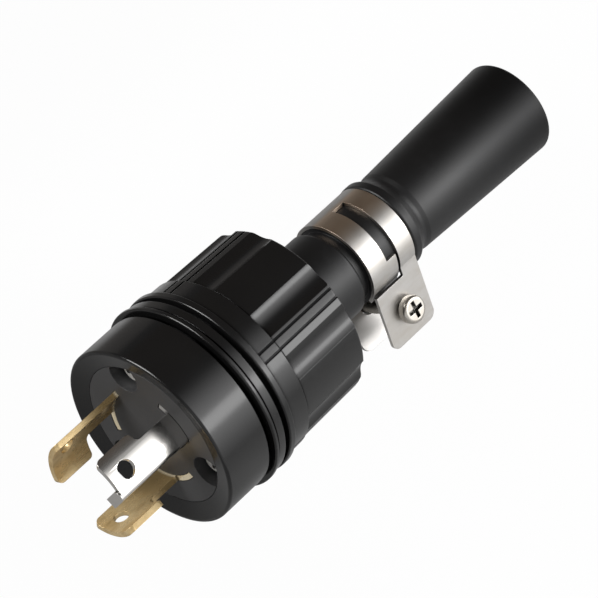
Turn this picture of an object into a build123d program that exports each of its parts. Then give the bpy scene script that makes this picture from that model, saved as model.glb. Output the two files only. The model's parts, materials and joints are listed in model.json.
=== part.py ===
from build123d import *
import math
import os

# Twist-lock plug, two poles and earth, with a rubber boot and a strap clamp.
# Stations run backwards from the rim of the face, along the plug's own axis.
# Angles run anticlockwise as seen from in front of the face. Millimetres and degrees.

# Front shell
shell_radius = 22.55
shell_length = 12.8
shell_edge_round = 0.6
rim_width = 4.7
web_station = 4.5
web_thickness = 4.5
skirt_thickness = 1.5

# Face plate
plate_recess = 1.4
plate_clearance = 0.1
peg_radius = 1.5
peg_circle = 5.5
scallop_radius = 3.9
scallop_inset = 2.55

# Middle ring and the grooves on both sides of it
ring_wall = 2.8
spigot_depth = 2.0
groove_width = 1.0
ring_lip_rise = 1.0
ring_lip_width = 0.95
ring_lip_round = 0.4
ring_line_width = 0.6
ring_rise = 0.55
ring_width = 3.7
rear_groove_width = 1.1
ring_round = 0.25
fit_clearance = 0.05

# Rear cover
collar_lip_rise = 0.8
collar_lip_width = 1.8
collar_lip_round = 0.4
collar_rise = 0.05
collar_taper = 0.15
collar_width = 5.6
line_width = 0.35
line_depth = 0.3
grip_drop = 0.47
grip_taper = 0.4
grip_length = 19.1
shoulder_round = 0.7
cover_wall = 4.0
end_wall = 4.0
flute_pairs = 5
narrow_land_angle = 13.4
wide_land_angle = 26.0
flute_depth = 0.95
first_land_angle = 79.0
mark_line_width = 0.6
mark_line_depth = 0.4
mark_line_spread_angle = 5.9
mark_line_shift_angle = 1.4

# Blades
blade_inner_radius = 10.9
blade_thickness = 1.3
blade_reach = 17.8
blade_tip_round = 1.5
blade_hole_inset = 4.4
blade_hole_angle = 13.0
line_hole_radius = 1.72
earth_hole_radius = 2.1
hook_length = 10.3
hook_round = 1.0
notch_depth = 1.5
notch_round = 1.3
slot_clearance = 0.15
lug_angle = 5.0
lug_thickness = 1.6
tail_angle = 30.0
tail_length = 11.0
line_middle_angle = 89.5
line_offset_angle = 120.0
line_span_angle = 64.0
line_neck_angle = 34.0
earth_angle = 86.4
earth_span_angle = 43.2
earth_neck_angle = 31.2
earth_extra_reach = 0.9
earth_leg_length = 4.5
earth_leg_thickness = 2.6
earth_leg_overhang = 0.4

# Terminals on the blade tails
terminal_screw_radius = 1.75
terminal_head_radius = 3.4
terminal_head_height = 2.2
terminal_shank_length = 5.0
terminal_plate_width = 7.0
terminal_plate_thickness = 0.9

# Assembly screws, their inserts and the bosses of the cover
screw_inset = 3.05
screw_first_angle = 28.5
screw_count = 3
screw_radius = 1.5
screw_head_radius = 2.7
screw_head_height = 2.2
screw_head_round = 0.6
screw_seat_depth = 1.5
screw_clearance = 0.15
recess_share = 0.62
recess_width = 0.9
recess_depth = 1.2
insert_wall = 0.9
insert_length = 8.0
boss_wall = 1.5
boss_gap = 1.5

# Boot
boot_bore = 6.5
boot_neck_radius = 10.7
boot_neck_length = 14.2
boot_neck_round = 1.2
boot_flange_width = 2.6
boot_flange_thickness = 3.4
clamp_groove_depth = 1.4
clamp_groove_width = 2.0
bead_height = 1.0
bead_width = 2.2
bead_round = 0.6
waist_depth = 0.5
waist_width = 4.3
waist_share = 0.6
waist_round = 1.5
flare_length = 40.8
flare_rise = 1.55
boot_end_round = 0.8
mouth_wall = 3.0
mouth_length = 22.0

# Clamp band and screw
band_thickness = 0.8
band_width = 14.0
band_end_gap = 0.2
clamp_seat_drop = 0.45
ear_angle = -28.0
ear_splay_angle = 12.0
ear_reach = 22.7
ear_tip_offset = 5.7
far_ear_extra = 1.5
ear_corner_round = 2.0
bend_overlap_angle = 2.0
window_width = 3.6
window_offset = 5.0
window_start_angle = 53.0
window_end_angle = 147.0
slit_width = 0.7
ear_slit = 0.4
tongue_angle = 22.0
clamp_screw_reach = 15.8
clamp_screw_radius = 1.7
clamp_head_radius = 3.2
clamp_head_height = 2.2
clamp_head_round = 0.9
clamp_hole_clearance = 0.35
clamp_shank_overhang = 2.0
collar_boss_radius = 2.9
collar_boss_height = 1.3

# Stations worked out from the sizes above
web_back = web_station + web_thickness
screw_seat = web_station + screw_seat_depth
spigot_front = shell_length - spigot_depth
ring_front = shell_length + groove_width
ring_back = ring_front + ring_width
cover_front = ring_back + rear_groove_width
spigot_back = cover_front + spigot_depth
lip_back = cover_front + collar_lip_width
grip_front = lip_back + collar_width
cover_back = grip_front + grip_length
wall_front = cover_back - end_wall
insert_front = spigot_back + boss_gap
insert_back = insert_front + insert_length
terminal_station = web_back + tail_length / 2
neck_end = cover_back + boot_neck_length
band_front = neck_end + clamp_groove_width
band_back = band_front + band_width
band_middle = (band_front + band_back) / 2
band_split = band_back - window_offset
bead_front = band_back + band_end_gap
bead_back = bead_front + bead_width
flare_front = bead_back + waist_width
boot_end = flare_front + flare_length

# Radii and angles worked out from the sizes above
rim_inner_radius = shell_radius - rim_width
scallop_circle = rim_inner_radius - scallop_inset
screw_circle = rim_inner_radius - screw_inset
spigot_radius = shell_radius - skirt_thickness
spigot_seat_radius = spigot_radius + fit_clearance
ring_bore = spigot_radius - ring_wall
ring_lip_radius = shell_radius + ring_lip_rise
ring_radius = shell_radius + ring_rise
collar_lip_radius = shell_radius + collar_lip_rise
collar_radius = shell_radius + collar_rise
grip_radius = shell_radius - grip_drop
grip_end_radius = grip_radius - grip_taper
chamber_radius = grip_end_radius - cover_wall
insert_radius = screw_radius + insert_wall
boss_radius = insert_radius + boss_wall
blade_outer_radius = blade_inner_radius + blade_thickness
slot_inner_radius = blade_inner_radius - slot_clearance
slot_outer_radius = blade_outer_radius + slot_clearance
slot_margin = math.degrees(slot_clearance / blade_inner_radius)
clamp_seat_radius = boot_neck_radius - clamp_seat_drop
band_inner_radius = clamp_seat_radius + fit_clearance
band_outer_radius = band_inner_radius + band_thickness
flare_end_radius = clamp_seat_radius + flare_rise
ear_slope = math.tan(math.radians(ear_splay_angle))
ear_height = ear_tip_offset + (ear_reach - clamp_screw_reach) * ear_slope
line_angles = (line_middle_angle + line_offset_angle, line_middle_angle - line_offset_angle)
blade_spans = (
    (line_angles[0], line_span_angle),
    (line_angles[1], line_span_angle),
    (earth_angle, earth_span_angle),
)
screw_angles = [screw_first_angle + 360 / screw_count * step for step in range(screw_count)]
land_angles = [first_land_angle + 360 / flute_pairs * step for step in range(flute_pairs)]


def turned(points):
    """Solid of revolution about the axis from (station, radius, rounding) corners."""
    corners = [Vector(-station, radius) for station, radius, _ in points]
    edges = []
    stops = []
    for index, (_, _, size) in enumerate(points):
        corner = corners[index]
        back = (corners[index - 1] - corner).normalized()
        ahead = (corners[(index + 1) % len(corners)] - corner).normalized()
        half_angle = math.radians(back.get_angle(ahead) / 2)
        reach = size / math.tan(half_angle)
        stops.append((corner + back * reach, corner + ahead * reach))
        if size:
            bulge = corner + (back + ahead).normalized() * (size / math.sin(half_angle) - size)
            edges.append(ThreePointArc(stops[-1][0], bulge, stops[-1][1]))
    for index, (arrival, _) in enumerate(stops):
        edges.append(Line(stops[index - 1][1], arrival))
    return revolve(make_face(edges), Axis.X)


def slab(face, front, back):
    """Prism with a cross section seen from the front, between two stations."""
    return extrude(Plane.YZ.offset(-back) * face, back - front)


def sector(inner, outer, start, end):
    """Piece of a flat ring between two angles."""
    outer_arc = CenterArc((0, 0), outer, start, end - start)
    inner_arc = CenterArc((0, 0), inner, start, end - start)
    sides = [Line(outer_arc @ share, inner_arc @ share) for share in (0, 1)]
    return make_face([outer_arc, inner_arc] + sides)


def disc(radius, distance, angle):
    """Circle at a distance from the axis in a given direction."""
    return Rot(0, 0, angle) * Pos(distance, 0) * Circle(radius)


def cross(head_radius):
    """Outline of the cross recess in a screw head."""
    length = 2 * recess_share * head_radius
    return Rectangle(length, recess_width) + Rectangle(recess_width, length)


def rod(radius, bottom, top, angle, station):
    """Round bar that stands out from the axis between two radii."""
    place = Pos(-station, 0, 0) * Rot(angle - 90, 0, 0) * Pos(0, 0, (bottom + top) / 2)
    return place * Cylinder(radius, top - bottom)


def make_front_shell():
    shell = turned([
        (0, shell_radius, shell_edge_round),
        (shell_length, shell_radius, ring_round),
        (shell_length, spigot_seat_radius, 0),
        (spigot_front, spigot_seat_radius, 0),
        (spigot_front, ring_bore, 0),
        (web_back, ring_bore, 0),
        (web_back, 0, 0),
        (web_station, 0, 0),
        (web_station, rim_inner_radius, 0),
        (plate_recess, rim_inner_radius, 0),
    ])
    for angle, _ in blade_spans:
        reach = tail_angle / 2 + slot_margin
        slot = sector(slot_inner_radius, slot_outer_radius, angle - reach, angle + reach)
        shell -= slab(slot, web_station, web_back)
    for angle in screw_angles:
        shell -= slab(disc(screw_head_radius + screw_clearance, screw_circle, angle), web_station, screw_seat)
        shell -= slab(disc(screw_radius + screw_clearance, screw_circle, angle), web_station, web_back)
        shell -= slab(disc(peg_radius + fit_clearance, peg_circle, angle), web_station, web_back)
    return shell


def make_face_plate():
    plate = slab(Circle(rim_inner_radius - plate_clearance), plate_recess, web_station)
    for angle in screw_angles:
        plate -= slab(disc(scallop_radius, scallop_circle, angle), plate_recess, web_station)
        plate += slab(disc(peg_radius, peg_circle, angle), web_station, web_back)
    for angle, span in blade_spans:
        reach = span / 2 + slot_margin
        slot = sector(slot_inner_radius, slot_outer_radius, angle - reach, angle + reach)
        plate -= slab(slot, plate_recess, web_station)
        reach += lug_angle
        pocket = sector(slot_inner_radius, slot_outer_radius, angle - reach, angle + reach)
        plate -= slab(pocket, web_station - lug_thickness - fit_clearance, web_station)
    return plate - make_earth_leg(slot_clearance, plate_recess)


def make_earth_leg(margin, front):
    """Leg of the earth blade, bent inwards in a round bend at its clockwise end."""
    turn = math.radians(earth_angle - earth_span_angle / 2)
    bend_radius = earth_leg_thickness / 2
    distance = blade_outer_radius - bend_radius
    length = earth_leg_length + margin
    outline = Circle(bend_radius + margin)
    outline += Pos(0, -length / 2) * Rectangle(2 * (bend_radius + margin), length)
    place = Pos(distance * math.cos(turn), distance * math.sin(turn))
    return slab(place * outline, front, web_station)


def round_blade(blade, station, angle, size):
    """Round the short edge of a blade at a station and an angle."""
    middle_radius = blade_inner_radius + blade_thickness / 2
    turn = math.radians(angle)
    place = (-station, middle_radius * math.cos(turn), middle_radius * math.sin(turn))
    return fillet(blade.edges().sort_by_distance(place)[0], size)


def make_blade(angle, span, neck, hole_radius, is_earth):
    """Arc blade with a hooked head, side lugs under the plate and a tail behind the web."""
    start = angle - span / 2
    end = angle + span / 2
    tip = -blade_reach - (earth_extra_reach if is_earth else 0)
    hook = tip + hook_length
    blade = slab(sector(blade_inner_radius, blade_outer_radius, start, end), tip, web_station)
    notch = sector(slot_inner_radius, slot_outer_radius, start + neck, end + lug_angle)
    blade -= slab(notch, hook, notch_depth)
    blade = round_blade(blade, hook, start + neck, notch_round)
    blade = round_blade(blade, hook, end, hook_round)
    blade = round_blade(blade, tip, end, blade_tip_round)
    if is_earth:
        blade += make_earth_leg(0, tip - earth_leg_overhang)
    else:
        blade = round_blade(blade, tip, start, blade_tip_round)
    hole_angle = start + neck - blade_hole_angle
    blade -= rod(hole_radius, 0, slot_outer_radius, hole_angle, tip + blade_hole_inset)
    lugs = sector(blade_inner_radius, blade_outer_radius, start - lug_angle, end + lug_angle)
    blade += slab(lugs, web_station - lug_thickness, web_station)
    tail = sector(blade_inner_radius, blade_outer_radius, angle - tail_angle / 2, angle + tail_angle / 2)
    blade += slab(tail, web_station, web_back + tail_length)
    return blade - rod(terminal_screw_radius + fit_clearance, 0, slot_outer_radius, angle, terminal_station)


def make_terminal_plate(angle):
    place = Pos(-terminal_station, 0, 0) * Rot(angle, 0, 0)
    middle = blade_outer_radius + terminal_plate_thickness / 2
    plate = Box(terminal_plate_width, terminal_plate_thickness, terminal_plate_width)
    hole = rod(terminal_screw_radius + fit_clearance, 0, 2 * middle, angle, terminal_station)
    return place * Pos(0, middle, 0) * plate - hole


def make_terminal_screw(angle):
    seat = blade_outer_radius + terminal_plate_thickness
    head = rod(terminal_head_radius, seat, seat + terminal_head_height, angle, terminal_station)
    return head + rod(terminal_screw_radius, seat - terminal_shank_length, seat, angle, terminal_station)


def make_assembly_screw(angle):
    head_front = screw_seat - screw_head_height
    head = slab(disc(screw_head_radius, screw_circle, angle), head_front, screw_seat)
    head = fillet(head.edges().group_by(Axis.X)[-1], screw_head_round)
    screw = head + slab(disc(screw_radius, screw_circle, angle), screw_seat, insert_back)
    recess = Rot(0, 0, angle) * Pos(screw_circle, 0) * cross(screw_head_radius)
    return screw - slab(recess, head_front, head_front + recess_depth)


def make_insert(angle):
    ring = disc(insert_radius, screw_circle, angle) - disc(screw_radius + fit_clearance, screw_circle, angle)
    return slab(ring, insert_front, insert_back)


def make_middle_ring():
    ring_line_front = ring_front + ring_lip_width
    ring_line_back = ring_line_front + ring_line_width
    ring_line_floor = ring_radius - line_depth
    return turned([
        (spigot_front, ring_bore, 0),
        (spigot_front, spigot_radius, 0),
        (ring_front, spigot_radius, 0),
        (ring_front, ring_lip_radius, ring_lip_round),
        (ring_line_front, ring_lip_radius, 0),
        (ring_line_front, ring_line_floor, 0),
        (ring_line_back, ring_line_floor, 0),
        (ring_line_back, ring_radius, 0),
        (ring_back, ring_radius, ring_round),
        (ring_back, spigot_radius, 0),
        (spigot_back, spigot_radius, 0),
        (spigot_back, ring_bore, 0),
    ])


def make_rear_cover():
    line_floor = grip_radius - line_depth
    cover = turned([
        (cover_front, spigot_seat_radius, 0),
        (cover_front, collar_lip_radius, collar_lip_round),
        (lip_back, collar_lip_radius, ring_round),
        (lip_back, collar_radius, 0),
        (grip_front - line_width, collar_radius - collar_taper, 0),
        (grip_front - line_width, line_floor, 0),
        (grip_front, line_floor, 0),
        (grip_front, grip_radius, 0),
        (cover_back, grip_end_radius, shoulder_round),
        (cover_back, boot_neck_radius + fit_clearance, 0),
        (wall_front, boot_neck_radius + fit_clearance, 0),
        (wall_front, chamber_radius, 0),
        (spigot_back, chamber_radius, 0),
        (spigot_back, spigot_seat_radius, 0),
    ])
    for angle in screw_angles:
        cover += slab(disc(boss_radius, screw_circle, angle), insert_front, wall_front)
        cover -= slab(disc(insert_radius + fit_clearance, screw_circle, angle), insert_front, insert_back)
    return cover - make_flutes() - make_mark_lines()


def make_flutes():
    """Shallow scallops between narrow and wide lands, which follow the taper of the grip."""
    flute_angle = (360 / flute_pairs - narrow_land_angle - wide_land_angle) / 2
    middle_radius = (grip_radius + grip_end_radius) / 2
    half_width = middle_radius * math.sin(math.radians(flute_angle / 2))
    edge_height = middle_radius * math.cos(math.radians(flute_angle / 2))
    sag = edge_height - middle_radius + flute_depth
    cutter_radius = (half_width ** 2 + sag ** 2) / (2 * sag)
    cutter_distance = edge_height - sag + cutter_radius
    taper_angle = math.degrees(math.atan(grip_taper / grip_length))
    cutter = Rot(0, 90, 0) * Cylinder(cutter_radius, 2 * grip_length)
    cutter = Pos(-(grip_front + cover_back) / 2, cutter_distance, 0) * Rot(0, 0, taper_angle) * cutter
    cutter &= slab(Circle(cutter_distance + cutter_radius), grip_front, cover_back)
    spread = (narrow_land_angle + flute_angle) / 2
    return [Rot(land + side * spread, 0, 0) * cutter for land in land_angles for side in (-1, 1)]


def make_mark_lines():
    """Two fine lines along each narrow land, which follow the collar and the grip."""
    collar_floor = collar_radius - mark_line_depth
    outline = [
        (-lip_back, collar_floor),
        (-grip_front, collar_floor - collar_taper),
        (-grip_front, grip_radius - mark_line_depth),
        (-cover_back, grip_end_radius - mark_line_depth),
        (-cover_back, collar_lip_radius),
        (-lip_back, collar_lip_radius),
    ]
    line = extrude(make_face(Polyline(*outline, close=True)), mark_line_width / 2, both=True)
    shifts = [mark_line_shift_angle + side * mark_line_spread_angle / 2 for side in (-1, 1)]
    return [Rot(land + shift, 0, 0) * line for land in land_angles for shift in shifts]


def make_boot():
    flange_front = wall_front - boot_flange_thickness
    groove_radius = boot_neck_radius - clamp_groove_depth
    bead_radius = clamp_seat_radius + bead_height
    boot = turned([
        (flange_front, boot_bore, 0),
        (flange_front, boot_neck_radius + boot_flange_width, 0),
        (wall_front, boot_neck_radius + boot_flange_width, 0),
        (wall_front, boot_neck_radius, 0),
        (neck_end, boot_neck_radius, boot_neck_round),
        (neck_end, groove_radius, 0),
        (band_front + band_end_gap, groove_radius, 0),
        (band_front + band_end_gap, clamp_seat_radius, 0),
        (bead_front, clamp_seat_radius, 0),
        (bead_front, bead_radius, bead_round),
        (bead_back, bead_radius, bead_round),
        (bead_back + waist_width * waist_share, clamp_seat_radius - waist_depth, waist_round),
        (flare_front, clamp_seat_radius, 0),
        (boot_end, flare_end_radius, boot_end_round),
        (boot_end, flare_end_radius - mouth_wall, boot_end_round),
        (boot_end - mouth_length, boot_bore, 0),
    ])
    for angle in screw_angles:
        boot -= slab(disc(boss_radius + fit_clearance, screw_circle, angle), flange_front, wall_front)
    return boot


def ear_tip(side):
    """Free end of the outer face of an ear: reach and offset from the middle plane."""
    extra = far_ear_extra if side < 0 else 0
    return Vector(ear_reach + extra, side * (ear_tip_offset - extra * ear_slope))


def ear_root():
    """Angle at which the outer face of an ear leaves the strap, and the slant length of its thickness there."""
    splay = math.radians(ear_splay_angle)
    line_distance = ear_tip_offset * math.cos(splay) + ear_reach * math.sin(splay)
    turn = 90 - ear_splay_angle - math.degrees(math.acos(line_distance / band_outer_radius))
    inner_line = math.sqrt(band_outer_radius ** 2 - (line_distance - band_thickness) ** 2)
    outer_line = math.sqrt(band_outer_radius ** 2 - line_distance ** 2)
    return turn, inner_line - outer_line


def ear_section(side, skip):
    """Cross section of an ear, which starts some way along from the strap."""
    turn = math.radians(ear_root()[0])
    root = Vector(math.cos(turn), side * math.sin(turn)) * band_outer_radius
    tip = ear_tip(side)
    along = (tip - root).normalized()
    inward = Vector(along.Y, -along.X) * side * band_thickness
    start = root + along * skip
    corners = [(corner.X, corner.Y) for corner in (start, tip, tip + inward, start + inward)]
    return Rot(0, 0, ear_angle) * make_face(Polyline(*corners, close=True))


def round_ear_tip(ear, side):
    """Round the two free corners of an ear."""
    tip = ear_tip(side).rotate(Axis.Z, ear_angle)
    for station in (band_front, band_back):
        short_edges = [edge for edge in ear.edges() if abs(edge.length - band_thickness) < fit_clearance]
        corner = ShapeList(short_edges).sort_by_distance((-station, tip.X, tip.Y))[0]
        ear = fillet(corner, ear_corner_round)
    return ear


def make_clamp_band():
    turn, clear_skip = ear_root()
    start = ear_angle + turn
    tongue_start = start - tongue_angle
    end = ear_angle + 360 - turn + bend_overlap_angle
    wrap = sector(band_inner_radius, band_outer_radius, start - bend_overlap_angle, end)
    tongue = sector(band_inner_radius, band_outer_radius, tongue_start, end)
    slit_front = band_split - slit_width
    band = slab(wrap, slit_front, band_back) + slab(tongue, band_front, slit_front)
    inner = band_inner_radius - band_thickness
    outer = band_outer_radius + band_thickness
    window = sector(inner, outer, window_start_angle, window_end_angle)
    band -= slab(window, band_split - window_width, band_split)
    slit = sector(inner, outer, tongue_start, window_start_angle + bend_overlap_angle)
    band -= slab(slit, slit_front, band_split)
    near_ear = slab(ear_section(1, 0), band_split, band_back)
    near_ear += slab(ear_section(1, clear_skip + ear_slit), band_front, band_split)
    far_ear = round_ear_tip(slab(ear_section(-1, 0), band_front, band_back), -1)
    boss_top = collar_boss_radius * ear_slope - ear_height
    far_ear += clamp_bar(Circle(collar_boss_radius), -ear_height - collar_boss_height, boss_top)
    band = band + round_ear_tip(near_ear, 1) + far_ear
    return band - clamp_bar(Circle(clamp_screw_radius + clamp_hole_clearance), -2 * ear_height, 2 * ear_height)


def clamp_bar(face, bottom, top):
    """Bar square to the middle plane of the two ears, where the clamp screw is."""
    place = Pos(-band_middle, 0, 0) * Rot(ear_angle, 0, 0) * Pos(0, clamp_screw_reach, bottom)
    return place * extrude(face, top - bottom)


def make_clamp_screw():
    seat = ear_height + clamp_head_radius * ear_slope + fit_clearance
    head_top = seat + clamp_head_height
    head = clamp_bar(Circle(clamp_head_radius), seat, head_top)
    outward = Vector(0, 0, 1).rotate(Axis.X, ear_angle)
    rims = head.edges().filter_by(GeomType.CIRCLE)
    head = fillet(max(rims, key=lambda edge: edge.center().dot(outward)), clamp_head_round)
    head -= clamp_bar(cross(clamp_head_radius), head_top - recess_depth, head_top)
    return head + clamp_bar(Circle(clamp_screw_radius), -ear_height - clamp_shank_overhang, seat)


def rest_place():
    """Placement of the plug as it lies: lip and grip on the floor, rolled on to the tip of an ear."""
    fall = (collar_lip_radius - grip_end_radius) / (cover_back - shoulder_round - lip_back)
    floor_distance = collar_lip_radius - (band_back - ear_corner_round - lip_back) * fall
    tip = ear_tip(-1)
    tip_turn = math.degrees(math.atan2(tip.Y, tip.X))
    reach_share = min(1, floor_distance / tip.length)
    down_angle = ear_angle + tip_turn - math.degrees(math.acos(reach_share))
    return Rot(0, -math.degrees(math.atan(fall)), 0) * Rot(270 - down_angle, 0, 0)


pieces = {
    "front_shell": make_front_shell(),
    "face_plate": make_face_plate(),
    "earth_blade": make_blade(earth_angle, earth_span_angle, earth_neck_angle, earth_hole_radius, True),
    "middle_ring": make_middle_ring(),
    "rear_cover": make_rear_cover(),
    "boot": make_boot(),
    "clamp_band": make_clamp_band(),
    "clamp_screw": make_clamp_screw(),
}
for number, angle in enumerate(line_angles, start=1):
    blade = make_blade(angle, line_span_angle, line_neck_angle, line_hole_radius, False)
    pieces[f"line_blade_{number}"] = blade
for number, (angle, _) in enumerate(blade_spans, start=1):
    pieces[f"terminal_plate_{number}"] = make_terminal_plate(angle)
    pieces[f"terminal_screw_{number}"] = make_terminal_screw(angle)
for number, angle in enumerate(screw_angles, start=1):
    pieces[f"assembly_screw_{number}"] = make_assembly_screw(angle)
    pieces[f"insert_{number}"] = make_insert(angle)

laid = {name: rest_place() * piece for name, piece in pieces.items()}
boxes = [piece.bounding_box() for piece in laid.values()]
middle_x = (min(box.min.X for box in boxes) + max(box.max.X for box in boxes)) / 2
middle_y = (min(box.min.Y for box in boxes) + max(box.max.Y for box in boxes)) / 2
floor_z = min(box.min.Z for box in boxes)

os.makedirs("parts", exist_ok=True)
for name, piece in laid.items():
    export_step(Pos(-middle_x, -middle_y, -floor_z) * piece, f"parts/{name}.step")
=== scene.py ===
import bmesh
import bpy
import json
import math
from mathutils import Euler, Matrix, Vector


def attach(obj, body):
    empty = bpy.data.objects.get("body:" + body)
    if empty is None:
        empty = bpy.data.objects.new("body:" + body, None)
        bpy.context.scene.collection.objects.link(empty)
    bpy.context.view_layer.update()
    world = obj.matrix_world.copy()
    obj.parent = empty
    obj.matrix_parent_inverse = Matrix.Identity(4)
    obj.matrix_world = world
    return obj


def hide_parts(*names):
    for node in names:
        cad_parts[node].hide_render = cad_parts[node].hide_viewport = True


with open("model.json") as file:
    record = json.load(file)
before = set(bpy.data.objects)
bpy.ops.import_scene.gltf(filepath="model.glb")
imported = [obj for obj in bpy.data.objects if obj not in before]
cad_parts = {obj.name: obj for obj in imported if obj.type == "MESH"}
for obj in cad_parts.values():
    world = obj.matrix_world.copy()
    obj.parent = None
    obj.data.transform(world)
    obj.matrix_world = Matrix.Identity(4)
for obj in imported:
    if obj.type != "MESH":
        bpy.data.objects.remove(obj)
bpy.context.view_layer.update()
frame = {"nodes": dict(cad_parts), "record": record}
nodes = frame["nodes"]

scene = bpy.context.scene
scene.view_settings.view_transform = "Standard"

# How the plug lies: the middle of the rim, and the turn from the plug's own axes to the floor's.
# In its own axes X points out of the face, Y to the right and Z up, with the rim at X = 0.
rim_middle = Vector((0.0522459, 0.0, 0.02472))
nose_lift = math.radians(-3.980415)
plug_roll = math.radians(-11.967221)
plug_turn = Matrix.Rotation(nose_lift, 4, "Y") @ Matrix.Rotation(plug_roll, 4, "X")

# Directions in the plug's own axes
outward = (1.0, 0.0, 0.0)
backward = (-1.0, 0.0, 0.0)
rightward = (0.0, 1.0, 0.0)
leftward = (0.0, -1.0, 0.0)
upward = (0.0, 0.0, 1.0)

white = (1.0, 1.0, 1.0, 1.0)


# Shader maths

class Wire:
    """A socket in a node tree, on which Python's operators add Math nodes."""

    def __init__(self, board, socket):
        self.board = board
        self.socket = socket

    def maths(self, operation, first, second):
        return self.board.node("ShaderNodeMath", {"operation": operation}, {0: first, 1: second})

    def __add__(self, other):
        return self.maths("ADD", self, other)

    def __radd__(self, other):
        return self.maths("ADD", other, self)

    def __sub__(self, other):
        return self.maths("SUBTRACT", self, other)

    def __rsub__(self, other):
        return self.maths("SUBTRACT", other, self)

    def __mul__(self, other):
        return self.maths("MULTIPLY", self, other)

    def __rmul__(self, other):
        return self.maths("MULTIPLY", other, self)


class Board:
    """A node tree, built up node by node."""

    def __init__(self, owner):
        owner.use_nodes = True
        self.tree = owner.node_tree

    def node(self, kind, settings, inputs, output=0):
        """Add a node: settings first, then its sockets, given by name or number."""
        node = self.tree.nodes.new(kind)
        for key, value in settings.items():
            setattr(node, key, value)
        for key, value in inputs.items():
            self.join(node.inputs[key], value)
        return Wire(self, node.outputs[output])

    def join(self, socket, value):
        if isinstance(value, Wire):
            self.tree.links.new(value.socket, socket)
        else:
            socket.default_value = value

    def ramp(self, value, start, end, top=1.0):
        """Smooth step from 0 to a top while the value goes from start to end."""
        inputs = {"Value": value, "From Min": start, "From Max": end, "To Max": top}
        return self.node("ShaderNodeMapRange", {"interpolation_type": "SMOOTHSTEP"}, inputs)

    def blend(self, share, first, second):
        """Mix of two colours by a share. Sockets 6 and 7 of the node are its colours."""
        inputs = {"Factor": share, 6: first, 7: second}
        return self.node("ShaderNodeMix", {"data_type": "RGBA"}, inputs, 2)

    def reach(self, place, direction):
        """How far a vector goes in a direction."""
        settings = {"operation": "DOT_PRODUCT"}
        return self.node("ShaderNodeVectorMath", settings, {0: place, 1: direction}, "Value")

    def ray(self, kind):
        """1 for rays of one kind, 0 for the others."""
        return self.node("ShaderNodeLightPath", {}, {}, kind)


class Finish(Board):
    """A material with its shader."""

    def __init__(self, name):
        self.material = bpy.data.materials.new(name)
        super().__init__(self.material)
        self.shader = self.tree.nodes["Principled BSDF"]

    def set(self, **values):
        """Fill sockets of the shader: Base_Color stands for Base Color."""
        for key, value in values.items():
            self.join(self.shader.inputs[key.replace("_", " ")], value)

    def along_plug(self):
        """Coordinates in the plug's own axes, in metres, from the rim."""
        place = self.node("ShaderNodeTexCoord", {}, {}, "Object")
        turn = plug_turn.to_euler("XYZ")
        inputs = {"Vector": place, "Location": rim_middle, "Rotation": turn}
        return self.node("ShaderNodeMapping", {"vector_type": "TEXTURE"}, inputs)

    def stretched(self, place, scale):
        return self.node("ShaderNodeMapping", {}, {"Vector": place, "Scale": scale})

    def noise(self, place, scale, detail=3.0, roughness=0.5):
        inputs = {"Vector": place, "Scale": scale, "Detail": detail, "Roughness": roughness}
        return self.node("ShaderNodeTexNoise", {}, inputs, "Fac")

    def hollow_shade(self):
        """1 in narrow grooves and recesses, 0 on open faces: the mask for painted shade in hollows."""
        open_face = 0.95
        deep_groove = 0.7
        settings = {"samples": 8, "only_local": True}
        openness = self.node("ShaderNodeAmbientOcclusion", settings, {"Distance": 0.0012}, "AO")
        return self.ramp(openness, start=open_face, end=deep_groove)

    def relief(self, height, distance, strength, round_edges):
        """Normal from a height, over edges that are rounded by a small radius."""
        normal = self.node("ShaderNodeBevel", {"samples": 6}, {"Radius": round_edges})
        inputs = {"Height": height, "Distance": distance, "Strength": strength, "Normal": normal}
        self.set(Normal=self.node("ShaderNodeBump", {}, inputs))


# Finishes

def moulded_black(name, shade, gloss, specular, grain):
    """Glossy moulded resin with faint flow marks and scuffs. Its grooves have painted shade: there it
    reflects next to nothing.
    """
    finish = Finish(name)
    place = finish.along_plug()
    cloud = finish.noise(place, scale=90.0, detail=4.0)
    along = finish.stretched(place, (1.0, 5.0, 5.0))
    marks = finish.noise(along, scale=260.0, detail=5.0, roughness=0.65)
    scuff = finish.ramp(marks, start=0.55, end=0.8)
    skin = finish.noise(place, scale=1500.0, detail=2.0)
    dark = (shade * 0.8, shade * 0.8, shade * 0.84, 1.0)
    light = (shade * 1.3, shade * 1.28, shade * 1.28, 1.0)
    finish.set(Base_Color=finish.blend(cloud, dark, light))
    finish.set(Roughness=gloss + cloud * 0.05 + scuff * 0.06)
    # Painted shade: fully metallic black in grooves and recesses, so they reflect next to nothing
    finish.set(Metallic=finish.hollow_shade())
    finish.set(Specular_IOR_Level=specular)
    finish.relief(skin + cloud * 2.0, distance=0.00002, strength=grain, round_edges=0.0002)
    return finish.material


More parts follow.
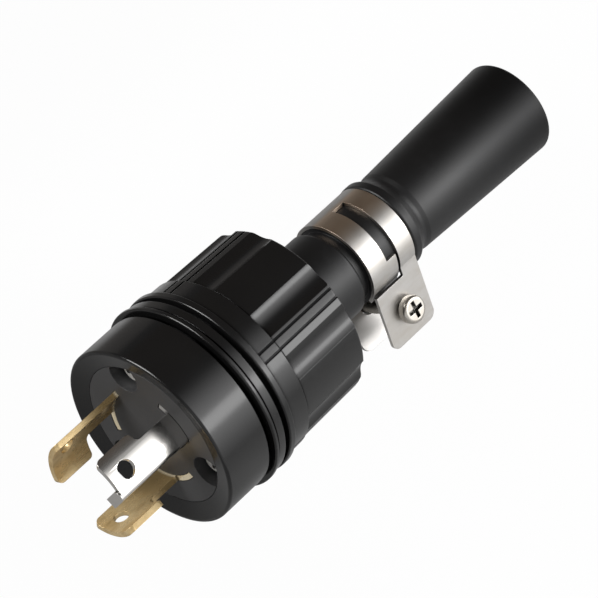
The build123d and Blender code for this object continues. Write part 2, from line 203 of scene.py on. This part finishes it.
def plated(name, colour, tarnish, gloss, bare_metal=1.0, rust=0.0, painted_light_sides=()):
    """Plated or bare metal with clouds and streaks of tarnish, with painted shade in its recesses. A side
    of painted shade and light is given by its direction in the plug's axes, by where it starts and is full,
    and by its colour."""
    finish = Finish(name)
    place = finish.along_plug()
    patches = finish.noise(place, scale=140.0, detail=5.0, roughness=0.6)
    cloud = finish.ramp(patches, start=0.35, end=0.75)
    specks = finish.noise(place, scale=420.0, detail=4.0, roughness=0.7)
    freckle = finish.ramp(specks, start=0.62, end=0.72) * rust
    lines = finish.noise(finish.stretched(place, (0.2, 1.0, 1.0)), scale=700.0)
    streak = finish.ramp(lines, start=0.4, end=0.7)
    grain = finish.noise(finish.stretched(place, (0.12, 1.0, 1.0)), scale=4200.0, detail=2.0)
    worn = finish.blend(cloud * 0.6 + streak * 0.35, (*colour, 1.0), (*tarnish, 1.0))
    rust_brown = (0.2, 0.09, 0.04, 1.0)
    stains_and_painted_light = finish.blend(freckle, worn, rust_brown)
    # Painted shade and painted light on sides picked by their direction
    for direction, start, full, painted_tone in painted_light_sides:
        painted_side_share = finish.ramp(finish.reach(place, direction), start, full)
        stains_and_painted_light = finish.blend(painted_side_share, stains_and_painted_light, (*painted_tone, 1.0))
    # Painted shade: the colour darkened to a fifth in grooves and recesses
    recess_shade = [part * 0.2 for part in colour] + [1.0]
    finish.set(Base_Color=finish.blend(finish.hollow_shade(), stains_and_painted_light, recess_shade))
    finish.set(Roughness=gloss + cloud * 0.06 + grain * 0.04)
    finish.set(Metallic=bare_metal - freckle * 0.4)
    finish.relief(grain, distance=0.00001, strength=0.05, round_edges=0.00012)
    return finish.material


def moulded_rubber(name):
    """Matte rubber with a dusty bloom and a fine grain. Its free end has painted shade: it is made more
    metallic there, so it shows less sheen.
    """
    finish = Finish(name)
    place = finish.along_plug()
    cloud = finish.noise(place, scale=70.0, detail=4.0, roughness=0.6)
    dust = finish.noise(place, scale=260.0, detail=6.0, roughness=0.7)
    bloom = finish.ramp(dust, start=0.5, end=0.8)
    grain = finish.noise(place, scale=2400.0)
    bare = (0.002, 0.002, 0.0023, 1.0)
    dusty = (0.006, 0.006, 0.0064, 1.0)
    free_end_shade = finish.ramp(finish.reach(place, backward), start=0.085, end=0.122)
    finish.set(Base_Color=finish.blend(cloud * 0.5 + bloom * 0.4, bare, dusty))
    finish.set(Roughness=0.38 + cloud * 0.1 + bloom * 0.05)
    # Painted shade: less sheen towards the free end
    finish.set(Metallic=0.12 + free_end_shade * 0.45)
    finish.set(Specular_IOR_Level=0.5)
    finish.relief(grain + bloom * 2.0, distance=0.00003, strength=0.2, round_edges=0.0002)
    return finish.material


# Painted shade on the clamp: a warm brown shade on its left, and darker from its lower ear down
towards_lower_ear = (0.0, -0.47, -0.88)
clamp_painted_shade = (
    (leftward, 0.0005, 0.006, (0.5, 0.4, 0.31)),
    (towards_lower_ear, -0.001, 0.001, (0.33, 0.32, 0.31)),
)
# Painted shade and light on the blades: darker and browner towards the face, and painted light where they
# sit in its slots
blade_painted_shade_and_light = (
    (backward, -0.012, -0.002, (0.34, 0.24, 0.11)),
    (backward, 0.0006, 0.0013, (0.85, 0.74, 0.52)),
)

mouldings = {
    "shell_black": dict(shade=0.005, gloss=0.15, specular=0.45, grain=0.1),
    "ring_black": dict(shade=0.005, gloss=0.17, specular=0.45, grain=0.1),
    "cover_black": dict(shade=0.005, gloss=0.17, specular=0.45, grain=0.1),
    "plate_black": dict(shade=0.036, gloss=0.42, specular=0.4, grain=0.3),
}
metals = {
    "clamp_nickel": dict(
        colour=(0.57, 0.555, 0.535), tarnish=(0.48, 0.45, 0.41), gloss=0.34, painted_light_sides=clamp_painted_shade,
    ),
    "screw_nickel": dict(colour=(0.54, 0.52, 0.48), tarnish=(0.42, 0.38, 0.33), gloss=0.24, rust=0.1),
    "blade_brass": dict(
        colour=(0.76, 0.58, 0.31), tarnish=(0.42, 0.28, 0.11), gloss=0.24, bare_metal=0.55, rust=0.8,
        painted_light_sides=blade_painted_shade_and_light,
    ),
    "earth_nickel": dict(colour=(0.72, 0.7, 0.67), tarnish=(0.66, 0.63, 0.6), gloss=0.15),
    "terminal_brass": dict(colour=(0.6, 0.46, 0.22), tarnish=(0.45, 0.32, 0.14), gloss=0.3, rust=0.2),
    "terminal_steel": dict(colour=(0.6, 0.6, 0.58), tarnish=(0.5, 0.48, 0.44), gloss=0.3),
    "assembly_steel": dict(colour=(0.78, 0.77, 0.74), tarnish=(0.66, 0.64, 0.6), gloss=0.4, bare_metal=0.5),
}
finishes = {"boot_rubber": moulded_rubber("boot_rubber")}
for name, values in mouldings.items():
    finishes[name] = moulded_black(name, **values)
for name, values in metals.items():
    finishes[name] = plated(name, **values)
slots = {entry["node"]: entry["material_slot"] for entry in frame["record"]["subparts"]}


# Pieces

def softened(name, width):
    """Copy of a CAD piece with small real roundings on its sharp edges."""
    same_point = 0.000002
    flat_angle = math.radians(0.5)
    sharp_angle = math.radians(35)
    shape = bmesh.new()
    shape.from_mesh(nodes[name].data)
    bmesh.ops.remove_doubles(shape, verts=shape.verts, dist=same_point)
    bmesh.ops.dissolve_limit(shape, angle_limit=flat_angle, verts=shape.verts, edges=shape.edges)
    mesh = bpy.data.meshes.new(f"{name}_soft")
    shape.to_mesh(mesh)
    shape.free()
    piece = bpy.data.objects.new(f"{name}_soft", mesh)
    scene.collection.objects.link(piece)
    mesh.materials.append(finishes[slots[name]])
    mesh.shade_smooth()
    rounding = piece.modifiers.new("rounding", "BEVEL")
    rounding.width = width
    rounding.segments = 2
    rounding.limit_method = "ANGLE"
    rounding.angle_limit = sharp_angle
    smoothing = piece.modifiers.new("smoothing", "WEIGHTED_NORMAL")
    smoothing.mode = "FACE_AREA"
    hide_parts(name)
    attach(piece, "root")


for name, node in nodes.items():
    node.data.materials.clear()
    node.data.materials.append(finishes[slots[name]])
roundings = {
    "line_blade_1": 0.0003,
    "line_blade_2": 0.0003,
    "earth_blade": 0.0003,
    "clamp_band": 0.00024,
    "clamp_screw": 0.00014,
}
for name, width in roundings.items():
    softened(name, width)

# Camera at the photograph's angle
camera_data = bpy.data.cameras.new("camera")
camera = bpy.data.objects.new("camera", camera_data)
scene.collection.objects.link(camera)
camera.location = (0.36320559, 0.15210885, 0.76691494)
camera.rotation_euler = Euler([math.radians(angle) for angle in (26.0982, -9.571242, 131.672718)])
camera_data.lens = 234.66756
camera_data.sensor_width = 36
scene.camera = camera

# Floor: white to the camera, with a faint part of the shadow. Mirrored rays see pale paper,
# with painted shade in front of the plug and to its left.
half_floor = 2.0
floor_drop = -0.0002
floor_shape = bmesh.new()
bmesh.ops.create_grid(floor_shape, x_segments=1, y_segments=1, size=half_floor)
bmesh.ops.translate(floor_shape, verts=floor_shape.verts, vec=(0.0, 0.0, floor_drop))
floor_mesh = bpy.data.meshes.new("floor")
floor_shape.to_mesh(floor_mesh)
floor_shape.free()
floor = bpy.data.objects.new("floor", floor_mesh)
scene.collection.objects.link(floor)
paper = Finish("paper_white")
floor_place = paper.along_plug()
left_shade_share = paper.ramp(paper.reach(floor_place, leftward), start=0.04, end=0.075)
front_shade_share = paper.ramp(paper.reach(floor_place, outward), start=-0.04, end=-0.005)
# Painted shade on the paper, seen mostly in reflections: darker in front of the plug and to its left
pale_paper = (0.5, 0.5, 0.5, 1.0)
front_paper_shade = (0.12, 0.12, 0.12, 1.0)
left_paper_shade = (0.07, 0.06, 0.052, 1.0)
paper_with_painted_shade = paper.blend(front_shade_share * 0.8, pale_paper, front_paper_shade)
paper.set(Base_Color=paper.blend(left_shade_share, paper_with_painted_shade, left_paper_shade), Roughness=0.9)
seen_white = 0.98
mirrored_white = 0.12
mirrored = paper.ray("Is Glossy Ray") + paper.ray("Is Transmission Ray")
white_share = paper.ray("Is Camera Ray") * seen_white + mirrored * mirrored_white
glow = paper.node("ShaderNodeEmission", {}, {"Color": white, "Strength": 1.0})
lit_paper = Wire(paper, paper.shader.outputs["BSDF"])
surface = paper.node("ShaderNodeMixShader", {}, {0: white_share, 1: lit_paper, 2: glow})
paper.join(paper.tree.nodes["Material Output"].inputs["Surface"], surface)
floor_mesh.materials.append(paper.material)

# Room light, by the angle around the plug from its right over its top: pale on its right, brightest
# high up behind it, dim and warm on its left. To the camera the room is white.
room = bpy.data.worlds.new("room")
room_board = Board(room)
room_view = room_board.node("ShaderNodeTexCoord", {}, {}, "Generated")


def room_reach(direction):
    """How far a ray of the room goes in a direction given in the plug's own axes."""
    return room_board.reach(room_view, plug_turn.to_3x3() @ Vector(direction))


right_reach = room_reach(rightward)
turn_up = right_reach.maths("ARCTAN2", room_reach(upward), right_reach)


def room_ramp(start_angle, full_angle, top=1.0):
    """Smooth step from 0 to a top between two angles around the plug, in degrees."""
    return room_board.ramp(turn_up, math.radians(start_angle), math.radians(full_angle), top)


pale_right = room_ramp(112, 60, top=0.7) * room_ramp(-150, -90)
behind = room_board.ramp(room_reach(backward), start=-0.2, end=0.35)
high_glow = room_ramp(10, 60) * room_ramp(108, 60, top=2.6) * behind
dim_light = 0.09
warm_white = (1.0, 0.84, 0.7, 1.0)
in_view = room_board.ray("Is Camera Ray")
room_colour = room_board.blend(room_ramp(100, 130) * (1.0 - in_view), white, warm_white)
room_level = (pale_right + high_glow + dim_light) * (1.0 - in_view) + in_view
background = room_board.tree.nodes["Background"]
room_board.join(background.inputs["Color"], room_colour)
room_board.join(background.inputs["Strength"], room_level)
scene.world = room


def soft_box(name, direction, distance, width, length, power):
    """Area light in a direction given in the plug's own axes, long side along the plug."""
    data = bpy.data.lights.new(name, "AREA")
    data.shape = "RECTANGLE"
    data.size = length
    data.size_y = width
    data.energy = power
    lamp = bpy.data.objects.new(name, data)
    towards = (plug_turn.to_3x3() @ Vector(direction)).normalized()
    along = plug_turn.to_3x3() @ Vector(outward)
    along = (along - along.dot(towards) * towards).normalized()
    turn = Matrix((along, towards.cross(along), towards)).transposed()
    lamp.matrix_world = Matrix.Translation(towards * distance) @ turn.to_4x4()
    scene.collection.objects.link(lamp)


soft_box("main_box", (-0.488, 0.44, 0.75), distance=0.9, width=0.22, length=0.8, power=2.4)
soft_box("front_fill", (0.55, -0.75, 0.35), distance=0.9, width=0.5, length=0.5, power=8.5)
